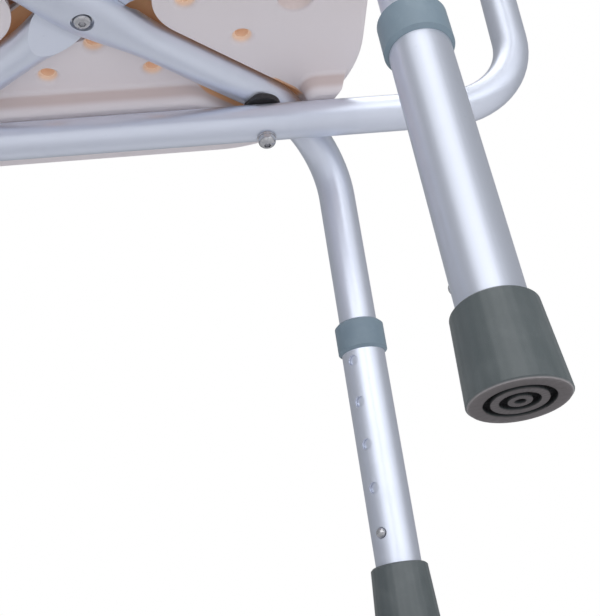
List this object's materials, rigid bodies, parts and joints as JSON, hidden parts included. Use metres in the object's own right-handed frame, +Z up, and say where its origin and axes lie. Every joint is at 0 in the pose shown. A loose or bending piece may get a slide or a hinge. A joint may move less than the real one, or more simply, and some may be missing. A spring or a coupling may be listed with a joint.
{
  "type": "shower stool",
  "caption": "Shower stool with a moulded seat on crossed tubes, an arm loop with a soft grip at each side, and telescoping legs with snap buttons and rubber tips",
  "frame": {"origin": "centre of the bounding box's base, on the floor under the middle of the seat", "axes": "+Z up, +X to the right-hand arm, +Y to the rear; the arms stand at -X and +X"},
  "size_m": [0.554, 0.3334, 0.547],
  "materials": {
    "seat": "fine-grained moulded cream plastic",
    "leg_tube": "satin clear-anodised tube",
    "arm_tube": "satin clear-anodised tube",
    "lower_leg": "satin clear-anodised tube",
    "collar": "grey-blue moulded plastic",
    "rubber_tip": "grey-green moulded rubber",
    "tip_washer": "zinc-plated washer",
    "snap_button": "polished stud",
    "snap_spring": "spring strip",
    "arm_sleeve": "mill finish",
    "sleeve_pin": "plain pin",
    "grip": "dark soft vinyl with a pebbled skin",
    "spacer": "black moulded plastic",
    "bolt": "bright plated",
    "washer": "bright plated",
    "insert": "turned brass"
  },
  "bodies": {
    "frame": {"seat": "seat", "seat_inserts": "insert", "leg_tube_lower": "leg_tube", "leg_tube_upper": "leg_tube", "arm_tube_front": "arm_tube", "arm_tube_rear": "arm_tube", "arm_sleeve_left": "arm_sleeve", "arm_grip_left": "grip", "arm_sleeve_right": "arm_sleeve", "arm_grip_right": "grip", "arm_sleeve_pins": "sleeve_pin", "saddle_spacers": "spacer", "crossing_bolt": "bolt", "arm_bolts": "bolt", "crossing_washer": "washer", "arm_bolt_washers": "washer", "snap_spring_front_left": "snap_spring", "snap_spring_front_right": "snap_spring", "snap_spring_rear_left": "snap_spring", "snap_spring_rear_right": "snap_spring"},
    "leg_front_left": {"lower_leg_front_left": "lower_leg", "leg_collar_front_left": "collar", "rubber_tip_front_left": "rubber_tip", "tip_washer_front_left": "tip_washer"},
    "button_front_left": {"snap_button_front_left": "snap_button"},
    "leg_front_right": {"lower_leg_front_right": "lower_leg", "leg_collar_front_right": "collar", "rubber_tip_front_right": "rubber_tip", "tip_washer_front_right": "tip_washer"},
    "button_front_right": {"snap_button_front_right": "snap_button"},
    "leg_rear_left": {"lower_leg_rear_left": "lower_leg", "leg_collar_rear_left": "collar", "rubber_tip_rear_left": "rubber_tip", "tip_washer_rear_left": "tip_washer"},
    "button_rear_left": {"snap_button_rear_left": "snap_button"},
    "leg_rear_right": {"lower_leg_rear_right": "lower_leg", "leg_collar_rear_right": "collar", "rubber_tip_rear_right": "rubber_tip", "tip_washer_rear_right": "tip_washer"},
    "button_rear_right": {"snap_button_rear_right": "snap_button"}
  },
  "joints": [
    {"name": "leg_height_front_left", "type": "slide", "parent": "frame", "child": "leg_front_left", "axis": [-0.0174, -0.0993, -0.9949], "range_m": [0, 0.1016], "deforming": ["snap_button_front_left", "snap_spring_front_left"]},
    {"name": "leg_height_front_right", "type": "slide", "parent": "frame", "child": "leg_front_right", "axis": [0.0174, -0.0993, -0.9949], "range_m": [0, 0.1016], "deforming": ["snap_button_front_right", "snap_spring_front_right"]},
    {"name": "leg_height_rear_left", "type": "slide", "parent": "frame", "child": "leg_rear_left", "axis": [-0.0174, 0.0993, -0.9949], "range_m": [0, 0.1016], "deforming": ["snap_button_rear_left", "snap_spring_rear_left"]},
    {"name": "leg_height_rear_right", "type": "slide", "parent": "frame", "child": "leg_rear_right", "axis": [0.0174, 0.0993, -0.9949], "range_m": [0, 0.1016], "deforming": ["snap_button_rear_right", "snap_spring_rear_right"]},
    {"name": "button_press_front_left", "type": "slide", "parent": "frame", "child": "button_front_left", "axis": [-0.6437, -0.7603, 0.0871], "range_m": [0, 0.004], "stiffness_N_per_m": 300, "deforming": ["snap_spring_front_left"]},
    {"name": "button_press_front_right", "type": "slide", "parent": "frame", "child": "button_front_right", "axis": [0.6437, -0.7603, 0.0871], "range_m": [0, 0.004], "stiffness_N_per_m": 300, "deforming": ["snap_spring_front_right"]},
    {"name": "button_press_rear_left", "type": "slide", "parent": "frame", "child": "button_rear_left", "axis": [-0.6437, 0.7603, 0.0871], "range_m": [0, 0.004], "stiffness_N_per_m": 300, "deforming": ["snap_spring_rear_left"]},
    {"name": "button_press_rear_right", "type": "slide", "parent": "frame", "child": "button_rear_right", "axis": [0.6437, 0.7603, 0.0871], "range_m": [0, 0.004], "stiffness_N_per_m": 300, "deforming": ["snap_spring_rear_right"]}
  ]
}
